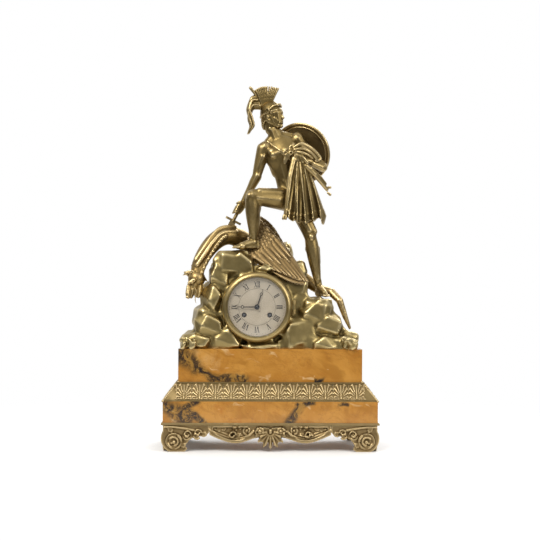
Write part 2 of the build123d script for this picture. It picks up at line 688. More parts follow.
with BuildPart() as figure_head:
    add(limb((9, 2, 390), (4, 1, 412), (8.6, 8.4, 9)))
    with BuildSketch(head_plane.offset(-CHIN_DROP)):
        with Locations((5, 0)):
            Ellipse(6, 5)
    with BuildSketch(head_plane.offset(-0.5 * CHIN_DROP)):
        with Locations((3.5, 0)):
            Ellipse(13, 10.5)
    with BuildSketch(head_plane):
        Ellipse(17, 14)
    with BuildSketch(head_plane.offset(0.6 * CHIN_DROP)):
        with Locations((-1.5, 0)):
            Ellipse(15.5, 13.5)
    with BuildSketch(head_plane.offset(CHIN_DROP)):
        with Locations((-2, 0)):
            Ellipse(8, 7)
    loft()
    # Plain straight nose
    with BuildSketch(head_plane):
        with BuildLine():
            Polyline((14, -3), (14, 3), (19.5, 0), close=True)
        make_face()
    extrude(amount=-8)
    split(bisect_by=NECK_CUT, keep=Keep.TOP)
    split(bisect_by=brow_plane, keep=Keep.BOTTOM)
keep("figure_head", figure_head)

DOME_PROFILE = ((0, 1.0), (0.4, 0.96), (0.78, 0.72), (1.0, 0.34))
with BuildPart() as helmet:
    for rise, share in DOME_PROFILE:
        with BuildSketch(brow_plane.offset(rise * HELMET_HEIGHT)):
            Circle(share * HELMET_RADIUS)
    loft()
    with BuildSketch(brow_plane):
        Circle(HELMET_RADIUS + PEAK_REACH)
    extrude(amount=HELMET_WALL)
keep("helmet", helmet)

CREST_SEAT = 0.8 * HELMET_RADIUS
crest_plane = Plane(
    origin=brow_plane.origin + Vector(0, CREST_THICKNESS / 2, 0), x_dir=(1, 0, 0), z_dir=(0, -1, 0)
)
with BuildPart() as helmet_crest:
    with BuildSketch(crest_plane):
        with BuildLine():
            saddle = CenterArc((0, 0), CREST_SEAT, 30, 140)
            brush = Spline(
                saddle @ 0, (20, 38), (-8, 45), (-37, 44), (-46, 20), (-45, -9), (-39, -27), (-44, -45)
            )
            Spline(brush @ 1, (-33, -41), (-29, -21), (-27, -4), saddle @ 1)
        make_face()
    extrude(amount=CREST_THICKNESS)
    add(helmet.part, mode=Mode.SUBTRACT)
keep("helmet_crest", helmet_crest)

SHIELD_CENTRE = (56, 24, 356)
SHIELD_FACE = Vector(-0.40, -0.857, -0.32)
shield_plane = Plane(origin=above(*SHIELD_CENTRE), x_dir=(0.9, -0.42, 0), z_dir=SHIELD_FACE)
with BuildPart() as shield:
    with BuildSketch(Plane(origin=shield_plane.origin, x_dir=shield_plane.x_dir,
        z_dir=-shield_plane.y_dir)):
        with BuildLine():
            hollow = ThreePointArc((0, -SHIELD_DEPTH), (0.6 * SHIELD_RADIUS, -0.66 * SHIELD_DEPTH),
                (SHIELD_RADIUS - SHIELD_RIM, 0))
            rim = Polyline(
                hollow @ 1, (SHIELD_RADIUS, 0), (SHIELD_RADIUS, -SHIELD_WALL),
                (SHIELD_RADIUS - SHIELD_RIM, -SHIELD_WALL)
            )
            back = ThreePointArc(
                rim @ 1, (0.6 * SHIELD_RADIUS, -0.66 * SHIELD_DEPTH - SHIELD_WALL),
                (0, -SHIELD_DEPTH - SHIELD_WALL)
            )
            Line(back @ 1, hollow @ 0)
        make_face()
    revolve(axis=Axis(shield_plane.origin, SHIELD_FACE))
    # Stud that carries the shield on the forearm
    with BuildSketch(shield_plane.offset(-SHIELD_DEPTH)):
        with Locations((22, -18)):
            Circle(STUD_RADIUS)
    extrude(amount=SHIELD_DEPTH + 34)
    add(arm(LEFT_ARM, LEFT_SHOULDER, SEAT_CLEARANCE), mode=Mode.SUBTRACT)
    add(body_with_legs(SEAT_CLEARANCE), mode=Mode.SUBTRACT)
keep("shield", shield)


def fold_section(level, start, middle, end, depth):
    """Cross-section of the hanging fleece: a band with folds that run in and out along its front."""
    steps = 8
    front = []
    for i in range(steps + 1):
        t = i / steps
        x = (1 - t) ** 2 * start[0] + 2 * t * (1 - t) * middle[0] + t ** 2 * end[0]
        y = (1 - t) ** 2 * start[1] + 2 * t * (1 - t) * middle[1] + t ** 2 * end[1]
        front.append((x, y - depth * (i % 2)))
    back = [(x - 0.4 * FLEECE_THICKNESS, y + FLEECE_THICKNESS + 0.5 * depth) for x, y in reversed(front)]
    with BuildSketch(Plane.XY.offset(MARBLE_TOP + level)) as band:
        with BuildLine():
            Polyline(*front, *back, close=True)
        make_face()
    return band.sketch


with BuildPart() as fleece:
    add(fold_section(352, (34, -32), (46, -44), (60, -36), 2))
    add(fold_section(312, (30, -30), (52, -42), (80, -22), 4))
    add(fold_section(270, (27, -34), (56, -44), (92, -12), 5))
    add(fold_section(230, (34, -33), (60, -40), (98, -6), 5))
    loft(ruled=True)
    add(arm(LEFT_ARM, LEFT_SHOULDER, SEAT_CLEARANCE), mode=Mode.SUBTRACT)
    add(body_with_legs(SEAT_CLEARANCE), mode=Mode.SUBTRACT)
    # Strip with the hoof that hangs before the body
    add(trunk((((31, -37, 268), 4.5), ((27, -37, 250), 4), ((24, -37, 232), 4.2))))
keep("fleece", fleece)


# Drum case, dial, bezel and rear door
def knuckles(axis_x, axis_y, first, count, step):
    """Hinge knuckles on a vertical pin, each one length long."""
    with BuildPart() as row:
        for i in range(count):
            low = CLOCK_Z + (first + i * step - 1.5) * KNUCKLE_LENGTH
            with BuildSketch(Plane(origin=(axis_x, axis_y, low), x_dir=(1, 0, 0), z_dir=(0, 0, 1))):
                Circle(KNUCKLE_RADIUS)
                Circle(HINGE_PIN_RADIUS + RUNNING_CLEARANCE, mode=Mode.SUBTRACT)
            extrude(amount=KNUCKLE_LENGTH - 2 * RUNNING_CLEARANCE)
    return row.part


def hinge_leaf(axis_x, axis_y, towards_x, depth, first, count, step):
    """Flat tongues that carry the knuckles out from the ring behind them."""
    with BuildPart() as leaf:
        for i in range(count):
            low = CLOCK_Z + (first + i * step - 1.5) * KNUCKLE_LENGTH
            with BuildSketch(Plane(origin=(axis_x, axis_y, low), x_dir=(1, 0, 0), z_dir=(0, 0, 1))):
                with BuildLine():
                    Polyline(
                        (0, 0), (0, depth), (towards_x - axis_x, depth), (towards_x - axis_x, 0), close=True
                    )
                make_face()
                Circle(HINGE_PIN_RADIUS + RUNNING_CLEARANCE, mode=Mode.SUBTRACT)
            extrude(amount=KNUCKLE_LENGTH - 2 * RUNNING_CLEARANCE)
    return leaf.part


BEZEL_AXIS_Y = FLANGE_FRONT_Y - KNUCKLE_RADIUS
DOOR_AXIS_Y = CASE_BACK_Y + KNUCKLE_RADIUS
FLANGE_RADIUS = CASE_RADIUS + FLANGE_WIDTH
PENDULUM_SLOT_HALF = 10.0

with BuildPart() as drum_case:
    with BuildSketch(clock_plane(CASE_BACK_Y)):
        Circle(CASE_RADIUS)
        Circle(CASE_RADIUS - CASE_WALL, mode=Mode.SUBTRACT)
    extrude(amount=CASE_BACK_Y - CASE_FRONT_Y)
    with BuildSketch(clock_plane(CASE_FRONT_Y)):
        Circle(FLANGE_RADIUS)
        Circle(CASE_RADIUS - CASE_WALL, mode=Mode.SUBTRACT)
    extrude(amount=FLANGE_THICKNESS)
    add(
        hinge_leaf(
            HINGE_X, BEZEL_AXIS_Y, CLOCK_X + FLANGE_RADIUS - 2, KNUCKLE_RADIUS + FLANGE_THICKNESS, 0, 2, 2
        )
    )
    with BuildSketch(clock_plane(FLANGE_FRONT_Y)):
        Circle(BEZEL_RADIUS + SEAT_CLEARANCE)
    extrude(amount=BEZEL_DEPTH, mode=Mode.SUBTRACT)
    add(knuckles(HINGE_X, BEZEL_AXIS_Y, 0, 2, 2))
    for end in (0, 2):
        low = CLOCK_Z + (end - 1.5) * KNUCKLE_LENGTH
        with BuildSketch(Plane.XY.offset(low)):
            with BuildLine():
                Polyline(
                    (DOOR_AXIS_X - KNUCKLE_RADIUS, DOOR_AXIS_Y),
                    (DOOR_AXIS_X - KNUCKLE_RADIUS, CASE_BACK_Y - DOOR_LEAF),
                    (CLOCK_X - CASE_RADIUS + 1.8, CASE_BACK_Y - DOOR_LEAF),
                    (CLOCK_X - CASE_RADIUS + 1.8, CASE_BACK_Y),
                    (DOOR_AXIS_X + KNUCKLE_RADIUS, CASE_BACK_Y),
                    (DOOR_AXIS_X + KNUCKLE_RADIUS, DOOR_AXIS_Y),
                    close=True,
                )
            make_face()
            with Locations((DOOR_AXIS_X, DOOR_AXIS_Y)):
                Circle(HINGE_PIN_RADIUS + RUNNING_CLEARANCE, mode=Mode.SUBTRACT)
        extrude(amount=KNUCKLE_LENGTH - 2 * RUNNING_CLEARANCE)
    add(knuckles(DOOR_AXIS_X, DOOR_AXIS_Y, 0, 2, 2))
    # Slot below for the pendulum, open at the back
    with BuildSketch(clock_plane(CASE_BACK_Y)):
        Rectangle(2 * PENDULUM_SLOT_HALF, 2 * CASE_RADIUS, align=(Align.CENTER, Align.MAX))
    extrude(amount=CASE_BACK_Y - PENDULUM_Y + 6, mode=Mode.SUBTRACT)
keep("drum_case", drum_case)

with BuildPart() as bezel_hinge_pin:
    with BuildSketch(Plane(origin=(HINGE_X, BEZEL_AXIS_Y, CLOCK_Z), x_dir=(1, 0, 0), z_dir=(0, 0, 1))):
        Circle(HINGE_PIN_RADIUS)
    extrude(amount=1.6 * KNUCKLE_LENGTH, both=True)
keep("bezel_hinge_pin", bezel_hinge_pin)

with BuildPart() as rear_hinge_pin:
    with BuildSketch(Plane(origin=(DOOR_AXIS_X, DOOR_AXIS_Y, CLOCK_Z), x_dir=(1, 0, 0), z_dir=(0, 0, 1))):
        Circle(HINGE_PIN_RADIUS)
    extrude(amount=1.6 * KNUCKLE_LENGTH, both=True)
keep("rear_hinge_pin", rear_hinge_pin)

DIAL_AXIS = Axis((CLOCK_X, 0, CLOCK_Z), (0, 1, 0))
REBATE_Y = DIAL_FRONT_Y - SEAT_CLEARANCE
GLASS_SEAT_Y = BEZEL_FRONT_Y + 4.0
GLASS_RADIUS = SIGHT_RADIUS + 2.0

with BuildPart() as bezel_ring:
    with BuildSketch(Plane(origin=(CLOCK_X, 0, CLOCK_Z), x_dir=(1, 0, 0), z_dir=(0, 0, 1))):
        with BuildLine():
            back_face = Polyline(
                (BEZEL_RADIUS - 2, FLANGE_FRONT_Y - RUNNING_CLEARANCE),
                (DIAL_RADIUS + SEAT_CLEARANCE, FLANGE_FRONT_Y - RUNNING_CLEARANCE),
                (DIAL_RADIUS + SEAT_CLEARANCE, REBATE_Y),
                (SIGHT_RADIUS, REBATE_Y),
                (SIGHT_RADIUS, GLASS_SEAT_Y),
                (GLASS_RADIUS + RUNNING_CLEARANCE, GLASS_SEAT_Y),
                (GLASS_RADIUS + RUNNING_CLEARANCE, GLASS_SEAT_Y - GLASS_THICKNESS - 0.5),
                (GLASS_RADIUS + 2, BEZEL_FRONT_Y),
            )
            crown = ThreePointArc(
                back_face @ 1, (BEZEL_RADIUS - 2.4, BEZEL_FRONT_Y + 2.4),
                (BEZEL_RADIUS, BEZEL_FRONT_Y + 0.7 * BEZEL_DEPTH)
            )
            Line(crown @ 1, back_face @ 0)
        make_face()
    revolve(axis=DIAL_AXIS)
    add(hinge_leaf(HINGE_X, BEZEL_AXIS_Y, CLOCK_X + BEZEL_RADIUS - 3, -KNUCKLE_RADIUS, 1, 1, 1))
    add(knuckles(HINGE_X, BEZEL_AXIS_Y, 1, 1, 1))
keep("bezel_ring", bezel_ring)

GLASS_SPHERE = (GLASS_RADIUS**2 + GLASS_DOME**2) / (2 * GLASS_DOME)
glass_half = math.degrees(math.asin(GLASS_RADIUS / GLASS_SPHERE))
with BuildPart() as bezel_glass:
    with BuildSketch(Plane(origin=(CLOCK_X, 0, CLOCK_Z), x_dir=(1, 0, 0), z_dir=(0, 0, 1))):
        with BuildLine():
            inside = CenterArc((0, GLASS_SEAT_Y - GLASS_DOME + GLASS_SPHERE), GLASS_SPHERE, -90, glass_half)
            edge = Line(inside @ 1, (GLASS_RADIUS, GLASS_SEAT_Y - GLASS_THICKNESS))
            outside = CenterArc(
                (0, GLASS_SEAT_Y - GLASS_THICKNESS - GLASS_DOME + GLASS_SPHERE),
                GLASS_SPHERE, glass_half - 90, -glass_half,
            )
            Line(outside @ 1, inside @ 0)
        make_face()
    revolve(axis=DIAL_AXIS)
keep("bezel_glass", bezel_glass)

DOOR_RADIUS = CASE_RADIUS - 0.2
with BuildPart() as rear_door:
    with BuildSketch(clock_plane(CASE_BACK_Y + RUNNING_CLEARANCE + DOOR_THICKNESS)):
        Circle(DOOR_RADIUS)
    extrude(amount=DOOR_THICKNESS)
    with BuildSketch(clock_plane(CASE_BACK_Y + RUNNING_CLEARANCE + DOOR_THICKNESS + 4)):
        with Locations((DOOR_RADIUS - 8, 0)):
            Circle(3)
    extrude(amount=4)
    # Slot in the lower edge through which the pendulum can be reached
    with BuildSketch(clock_plane(CASE_BACK_Y + RUNNING_CLEARANCE + DOOR_THICKNESS)):
        with Locations((0, -DOOR_RADIUS)):
            Rectangle(2 * PENDULUM_SLOT_HALF, 16)
    extrude(amount=DOOR_THICKNESS, mode=Mode.SUBTRACT)
    add(hinge_leaf(DOOR_AXIS_X, DOOR_AXIS_Y, CLOCK_X - DOOR_RADIUS + 3,
        -KNUCKLE_RADIUS + RUNNING_CLEARANCE + 0.3, 1, 1, 1))
    add(knuckles(DOOR_AXIS_X, DOOR_AXIS_Y, 1, 1, 1))
keep("rear_door", rear_door)

# Winding places and the other arbors of the two trains, as offsets from the middle of the dial
GOING_BARREL = (22.5, -14)
STRIKE_BARREL = (-22.5, -14)
GOING_SECOND = (17.4, 9.44)
CENTRE = (0, 0)
THIRD = (-4.75, 15.11)
ESCAPE = (0, 27)
PALLETS = (0, SUSPENSION_HEIGHT)
STRIKE_SECOND = (-28, 9.36)
PIN_WHEEL = (-22.9, 23.3)
LOCKING = (-11.2, 27.5)
FLY = (-12.9, 37.2)
HAMMER = (-37.5, 21.5)
MINUTE_STUD = (7.2, 12.47)
PILLARS = ((40, 42), (180, 42.5), (250, 41), (290, 41))
DIAL_FEET = ((95, 42), (205, 42), (325, 42))
DIAL_HOLE = 3.4
WINDING_HOLE = 4.2
BELL_PLACE = (12, -2)


def polar(places):
    """Offsets of places given as angle and radius."""
    return [(r * math.cos(math.radians(a)), r * math.sin(math.radians(a))) for a, r in places]


with BuildPart() as dial_plate:
    with BuildSketch(clock_plane(FLANGE_FRONT_Y)):
        Circle(DIAL_RADIUS)
        Circle(DIAL_HOLE, mode=Mode.SUBTRACT)
        with Locations(GOING_BARREL, STRIKE_BARREL):
            Circle(WINDING_HOLE, mode=Mode.SUBTRACT)
    extrude(amount=DIAL_THICKNESS)
    with BuildSketch(clock_plane(FLANGE_FRONT_Y)):
        with Locations(*polar(DIAL_FEET)):
            Circle(1.6)
    extrude(amount=-DIAL_TO_PLATE)
keep("dial_plate", dial_plate)

FRONT_PIVOTS = (GOING_SECOND, THIRD, ESCAPE, PALLETS, STRIKE_SECOND, PIN_WHEEL, LOCKING, FLY, HAMMER)
with BuildPart() as front_plate:
    with BuildSketch(clock_plane(GAP_FRONT_Y)):
        Circle(PLATE_RADIUS)
        with Locations(*FRONT_PIVOTS):
            Circle(PIVOT_RADIUS + RUNNING_CLEARANCE, mode=Mode.SUBTRACT)
        with Locations(CENTRE):
            Circle(ARBOR_RADIUS + RUNNING_CLEARANCE, mode=Mode.SUBTRACT)
        with Locations(GOING_BARREL, STRIKE_BARREL):
            Circle(WINDING_RADIUS + RUNNING_CLEARANCE, mode=Mode.SUBTRACT)
    extrude(amount=PLATE_THICKNESS)
    with BuildSketch(clock_plane(FRONT_PLATE_Y, MINUTE_STUD)):
        Circle(1)
    extrude(amount=DIAL_TO_PLATE - 1)
keep("front_plate", front_plate)

THROUGH_BACK = (PALLETS, STRIKE_SECOND, HAMMER)
BACK_PIVOTS = (GOING_SECOND, CENTRE, THIRD, ESCAPE, PIN_WHEEL, LOCKING, FLY)
with BuildPart() as back_plate:
    with BuildSketch(clock_plane(BACK_PLATE_Y)):
        Circle(PLATE_RADIUS)
        with Locations(*BACK_PIVOTS):
            Circle(PIVOT_RADIUS + RUNNING_CLEARANCE, mode=Mode.SUBTRACT)
        with Locations(*THROUGH_BACK):
            Circle(ARBOR_RADIUS + RUNNING_CLEARANCE, mode=Mode.SUBTRACT)
        with Locations(GOING_BARREL, STRIKE_BARREL):
            Circle(WINDING_RADIUS + RUNNING_CLEARANCE, mode=Mode.SUBTRACT)
    extrude(amount=PLATE_THICKNESS)
keep("back_plate", back_plate)

with BuildPart() as plate_pillars:
    with BuildSketch(clock_plane(GAP_BACK_Y)):
        with Locations(*polar(PILLARS)):
            Circle(PILLAR_RADIUS)
    extrude(amount=PLATE_GAP)
keep("plate_pillars", plate_pillars)

STRAP_RADIUS = CASE_RADIUS - CASE_WALL - 0.2
STRAP_THICKNESS = 1.0
STRAP_WIDTH = 8.0
STRAP_BACK_Y = CASE_BACK_Y - 2.0
with BuildPart() as movement_straps:
    with BuildSketch(clock_plane(STRAP_BACK_Y)):
        with Locations((STRAP_RADIUS - 1.2, 0), (-STRAP_RADIUS + 1.2, 0)):
            Rectangle(STRAP_THICKNESS, STRAP_WIDTH)
    extrude(amount=STRAP_BACK_Y - FLANGE_FRONT_Y)
    with BuildSketch(clock_plane(STRAP_BACK_Y)):
        with Locations((STRAP_RADIUS - 3.7, 0), (-STRAP_RADIUS + 3.7, 0)):
            Rectangle(6, STRAP_WIDTH)
    extrude(amount=STRAP_THICKNESS)
keep("movement_straps", movement_straps)

SCREW_PLACES = ((STRAP_RADIUS - 4.5, 0), (-STRAP_RADIUS + 4.5, 0))
with BuildPart() as strap_screws:
    with BuildSketch(clock_plane(STRAP_BACK_Y + 1.2)):
        with Locations(*SCREW_PLACES):
            Circle(2)
    extrude(amount=1.2)
    with BuildSketch(clock_plane(STRAP_BACK_Y + 1.2)):
        with Locations(*SCREW_PLACES):
            Rectangle(4.4, 0.6)
    extrude(amount=0.5, mode=Mode.SUBTRACT)
keep("strap_screws", strap_screws)


# Wheels and pinions
WHEEL_TOOTH = ((-1.1, -0.5), (0.75, 0.0), (-1.1, 0.5))
PINION_LEAF = ((-1.25, -0.45), (0.5, -0.15), (0.5, 0.15), (-1.25, 0.45))


def toothed(teeth, module, turn, tooth):
    """Toothed disc: each tooth is a few points of height in modules and width in half pitches."""
    points = []
    for k in range(teeth):
        for height, side in tooth:
            angle = math.radians(turn + (360 * k + 180 * side) / teeth)
            radius = module * (teeth / 2 + height)
            points.append((radius * math.cos(angle), radius * math.sin(angle)))
    with BuildSketch() as disc:
        with BuildLine():
            Polyline(*points, close=True)
        make_face()
    return disc.sketch


def bearing(driver, follower):
    """Direction in degrees from one arbor to the next."""
    return math.degrees(math.atan2(follower[1] - driver[1], follower[0] - driver[0]))


def meshed(driver, driver_teeth, follower, follower_teeth):
    """Turn of a follower whose leaves stand between the teeth of a driver that starts at zero."""
    line = bearing(driver, follower)
    return line + 180 + driver_teeth / follower_teeth * line - 180 / follower_teeth


def pitch(driver, driver_teeth, follower, follower_teeth):
    """Module that makes two meshing pitch circles touch between their arbors."""
    return 2 * math.dist(driver, follower) / (driver_teeth + follower_teeth)


def level(depth):
    """Y of a depth measured back from the inner face of the front plate."""
    return GAP_FRONT_Y + depth


def arbor(place, wheel, pinion, ends):
    """Arbor with pivots in the plates; wheel and pinion are (teeth, module, turn, near, far) or None."""
    near, far = ends
    leaves, leaf_module = pinion[:2] if pinion else (LEAVES, 1)
    core = min(ARBOR_RADIUS, leaf_module * (leaves / 2 + PINION_LEAF[0][0]))
    with BuildPart() as solid:
        with BuildSketch(clock_plane(far, place)):
            Circle(core)
        extrude(amount=far - near)
        with BuildSketch(clock_plane(level(PLATE_GAP) + PLATE_THICKNESS, place)):
            Circle(PIVOT_RADIUS)
        extrude(amount=PLATE_GAP + 2 * PLATE_THICKNESS)
        if pinion:
            teeth, module, turn, front, back = pinion
            with BuildSketch(clock_plane(level(back), place)):
                add(toothed(teeth, module, turn, PINION_LEAF))
            extrude(amount=back - front)
        if wheel:
            teeth, module, turn, front, back = wheel
            root = module * (teeth / 2 - 1.1)
            with BuildSketch(clock_plane(level(back), place)):
                add(toothed(teeth, module, turn, WHEEL_TOOTH))
                if root > 6:
                    Circle(0.84 * root, mode=Mode.SUBTRACT)
                    Circle(0.3 * root)
                    with PolarLocations(0, 2):
                        Rectangle(1.76 * root, 0.14 * root)
            extrude(amount=back - front)
    return solid.part


BETWEEN_PLATES = (GAP_FRONT_Y + END_SHAKE, GAP_BACK_Y - END_SHAKE)
GREAT_TEETH = 72
SECOND_TEETH = 54
CENTRE_TEETH = 80
THIRD_TEETH = 72
ESCAPE_TEETH = 52
STRIKE_SECOND_TEETH = 48
PIN_TEETH = 48
LOCKING_TEETH = 40
LEAVES = 10
FINE_LEAVES = 8


def barrel(place, second, great_turn):
    """Spring barrel: drum with the great wheel at its back, and a snapped-in cover at its front."""
    module = pitch(place, GREAT_TEETH, second, LEAVES)
    with BuildPart() as drum:
        with BuildSketch(clock_plane(level(BARREL_BACK), place)):
            Circle(BARREL_RADIUS)
            Circle(BARREL_RADIUS - BARREL_WALL, mode=Mode.SUBTRACT)
        extrude(amount=BARREL_BACK - BARREL_FRONT)
        with BuildSketch(clock_plane(level(BARREL_BACK + GREAT_WIDTH), place)):
            add(toothed(GREAT_TEETH, module, great_turn, WHEEL_TOOTH))
            Circle(WINDING_RADIUS + RUNNING_CLEARANCE, mode=Mode.SUBTRACT)
        extrude(amount=GREAT_WIDTH)
        with BuildSketch(clock_plane(level(BARREL_FRONT), place)):
            Circle(BARREL_RADIUS)
            Circle(WINDING_RADIUS + RUNNING_CLEARANCE, mode=Mode.SUBTRACT)
        extrude(amount=BARREL_WALL)
    return drum


def mainspring(place):
    """Coiled ribbon in the barrel, from its wall in towards the arbor."""
    pitch_step = (BARREL_RADIUS - BARREL_WALL - WINDING_RADIUS - 3) / SPRING_TURNS
    outer = [BARREL_RADIUS - BARREL_WALL - 0.1 - pitch_step * i / 2 for i in range(2 * SPRING_TURNS + 1)]
    with BuildPart() as ribbon:
        with BuildSketch(clock_plane(level(BARREL_BACK - 1), place)):
            with BuildLine():
                for i in range(2 * SPRING_TURNS):
                    side = 1 if i % 2 == 0 else -1
                    for inset in (0, SPRING_STRIP):
                        start = side * (outer[i] - inset)
                        end = -side * (outer[i + 1] - inset)
                        bulge = side * (abs(start) + abs(end)) / 2
                        ThreePointArc((start, 0), ((start + end) / 2, bulge), (end, 0))
                Line((outer[0], 0), (outer[0] - SPRING_STRIP, 0))
                Line((outer[-1], 0), (outer[-1] - SPRING_STRIP, 0))
            make_face()
        extrude(amount=BARREL_BACK - BARREL_FRONT - 2)
    return ribbon


def winding_arbor(place):
    """Barrel arbor with its winding square at the dial and the ratchet wheel on the front plate."""
    with BuildPart() as shaft:
        with BuildSketch(clock_plane(BACK_PLATE_Y, place)):
            Circle(WINDING_RADIUS)
        extrude(amount=BACK_PLATE_Y - FRONT_PLATE_Y + 3)
        with BuildSketch(clock_plane(FRONT_PLATE_Y, place)):
            Rectangle(WINDING_SQUARE, WINDING_SQUARE)
        extrude(amount=FRONT_PLATE_Y - DIAL_FRONT_Y + 2)
        with BuildSketch(clock_plane(FRONT_PLATE_Y - 0.3, place)):
            add(toothed(RATCHET_TEETH, RATCHET_MODULE, 0, RATCHET_TOOTH))
        extrude(amount=1.6)
    return shaft


BARREL_FRONT = 4.2
BARREL_BACK = 21.0
GREAT_WIDTH = 3.0
RATCHET_TEETH = 18
RATCHET_MODULE = 0.8
RATCHET_TOOTH = ((-1.0, -0.9), (0.6, -0.7), (-0.9, 0.95))
CLICK_RADIUS = 1.6

going_barrel = barrel(GOING_BARREL, GOING_SECOND, 0)
keep("going_barrel", going_barrel)
strike_barrel = barrel(STRIKE_BARREL, STRIKE_SECOND, 0)
keep("strike_barrel", strike_barrel)
going_mainspring = mainspring(GOING_BARREL)
keep("going_mainspring", going_mainspring)
strike_mainspring = mainspring(STRIKE_BARREL)
keep("strike_mainspring", strike_mainspring)
going_arbor = winding_arbor(GOING_BARREL)
keep("going_arbor", going_arbor)
strike_arbor = winding_arbor(STRIKE_BARREL)
keep("strike_arbor", strike_arbor)

CLICK_REACH = RATCHET_MODULE * (RATCHET_TEETH / 2 + 0.6) + SEAT_CLEARANCE + CLICK_RADIUS
with BuildPart() as ratchet_clicks:
    with BuildSketch(clock_plane(FRONT_PLATE_Y)):
        for place, side in ((GOING_BARREL, 1), (STRIKE_BARREL, -1)):
            with Locations((place[0] + side * CLICK_REACH, place[1])):
                SlotOverall(7, 2 * CLICK_RADIUS, rotation=90)
    extrude(amount=1.8)
keep("ratchet_clicks", ratchet_clicks)

# Going train: barrel, second wheel, centre wheel, third wheel, escape wheel and anchor
with BuildPart() as going_second_wheel:
    add(arbor(
        GOING_SECOND,
        (SECOND_TEETH, pitch(GOING_SECOND, SECOND_TEETH, CENTRE, LEAVES), 0, 26.5, 28),
        (LEAVES, pitch(GOING_BARREL, GREAT_TEETH, GOING_SECOND, LEAVES),
         meshed(GOING_BARREL, GREAT_TEETH, GOING_SECOND, LEAVES), 20, 26),
        BETWEEN_PLATES,
    ))
keep("going_second_wheel", going_second_wheel)

CENTRE_POST = 0.9
with BuildPart() as centre_wheel:
    add(arbor(
        CENTRE,
        (CENTRE_TEETH, pitch(CENTRE, CENTRE_TEETH, THIRD, FINE_LEAVES), 0, 1, 2.2),
        (LEAVES, pitch(GOING_SECOND, SECOND_TEETH, CENTRE, LEAVES),
         meshed(GOING_SECOND, SECOND_TEETH, CENTRE, LEAVES), 25.5, 29),
        BETWEEN_PLATES,
    ))
    with BuildSketch(clock_plane(GAP_FRONT_Y + END_SHAKE)):
        Circle(ARBOR_RADIUS)
    extrude(amount=PLATE_THICKNESS + END_SHAKE)
    with BuildSketch(clock_plane(FRONT_PLATE_Y)):
        Circle(CENTRE_POST)
    extrude(amount=FRONT_PLATE_Y - DIAL_FRONT_Y + 3)
keep("centre_wheel", centre_wheel)

with BuildPart() as third_wheel:
    add(arbor(
        THIRD,
        (THIRD_TEETH, pitch(THIRD, THIRD_TEETH, ESCAPE, FINE_LEAVES), 0, 10, 11),
        (FINE_LEAVES, pitch(CENTRE, CENTRE_TEETH, THIRD, FINE_LEAVES),
         meshed(CENTRE, CENTRE_TEETH, THIRD, FINE_LEAVES), 0.6, 3),
        BETWEEN_PLATES,
    ))
keep("third_wheel", third_wheel)

ESCAPE_RADIUS = 9.0
ESCAPE_TOOTH = ((-3.2, -0.8), (0.0, 0.35), (-3.2, 0.1))
with BuildPart() as escape_wheel:
    add(arbor(
        ESCAPE,
        None,
        (FINE_LEAVES, pitch(THIRD, THIRD_TEETH, ESCAPE, FINE_LEAVES),
         meshed(THIRD, THIRD_TEETH, ESCAPE, FINE_LEAVES), 9, 12),
        BETWEEN_PLATES,
    ))
    with BuildSketch(clock_plane(level(21), ESCAPE)):
        add(toothed(ESCAPE_TEETH, 2 * ESCAPE_RADIUS / ESCAPE_TEETH, 0, ESCAPE_TOOTH))
    extrude(amount=1)
keep("escape_wheel", escape_wheel)

CRUTCH_LENGTH = 24.0
CRUTCH_Y = BACK_PLATE_Y + 1.2
with BuildPart() as anchor_crutch:
    add(arbor(PALLETS, None, None, (GAP_FRONT_Y + END_SHAKE, CRUTCH_Y + 1.5)))
    with BuildSketch(clock_plane(level(21), PALLETS)):
        with BuildLine():
            claw = Polyline((0, 2.4), (3.4, 1.4), (10.2, -6.6), (8.4, -8.6), (7.6, -7.4),
                (8.2, -6.4), (2.2, -1.4), (0, -1.6))
            Line(claw @ 1, claw @ 0)
        make_face()
        mirror(about=Plane.YZ)
    extrude(amount=1)
    with BuildSketch(clock_plane(CRUTCH_Y + 1.5, PALLETS)):
        with Locations((0, -CRUTCH_LENGTH / 2)):
            Rectangle(1.8, CRUTCH_LENGTH)
        with Locations((0, -CRUTCH_LENGTH)):
            Rectangle(2 * PENDULUM_ROD_RADIUS + 2 * SEAT_CLEARANCE + 3, 2)
    extrude(amount=1.5)
    with BuildSketch(clock_plane(PENDULUM_Y + PENDULUM_ROD_RADIUS, PALLETS)):
        with Locations(
            (PENDULUM_ROD_RADIUS + SEAT_CLEARANCE + 0.75, -CRUTCH_LENGTH),
            (-PENDULUM_ROD_RADIUS - SEAT_CLEARANCE - 0.75, -CRUTCH_LENGTH),
        ):
            Rectangle(1.5, 2)
    extrude(amount=PENDULUM_Y + PENDULUM_ROD_RADIUS - CRUTCH_Y)
keep("anchor_crutch", anchor_crutch)

# Pendulum on its suspension spring, hung from a cock on the back plate
COCK_WIDTH = 12.0
SPRING_WIDTH = 5.0
SPRING_LENGTH = 8.0
SPRING_SHEET = 0.3
with BuildPart() as suspension_cock:
    with BuildSketch(clock_plane(PENDULUM_Y + 4, PALLETS)):
        with Locations((0, SPRING_LENGTH / 2 - 0.5)):
            Rectangle(COCK_WIDTH, 3)
    extrude(amount=PENDULUM_Y + 4 - BACK_PLATE_Y)
    with BuildSketch(clock_plane(PENDULUM_Y + SPRING_WIDTH / 2 + SEAT_CLEARANCE, PALLETS)):
        Rectangle(2.4, 20)
    extrude(amount=SPRING_WIDTH + 2 * SEAT_CLEARANCE, mode=Mode.SUBTRACT)
keep("suspension_cock", suspension_cock)

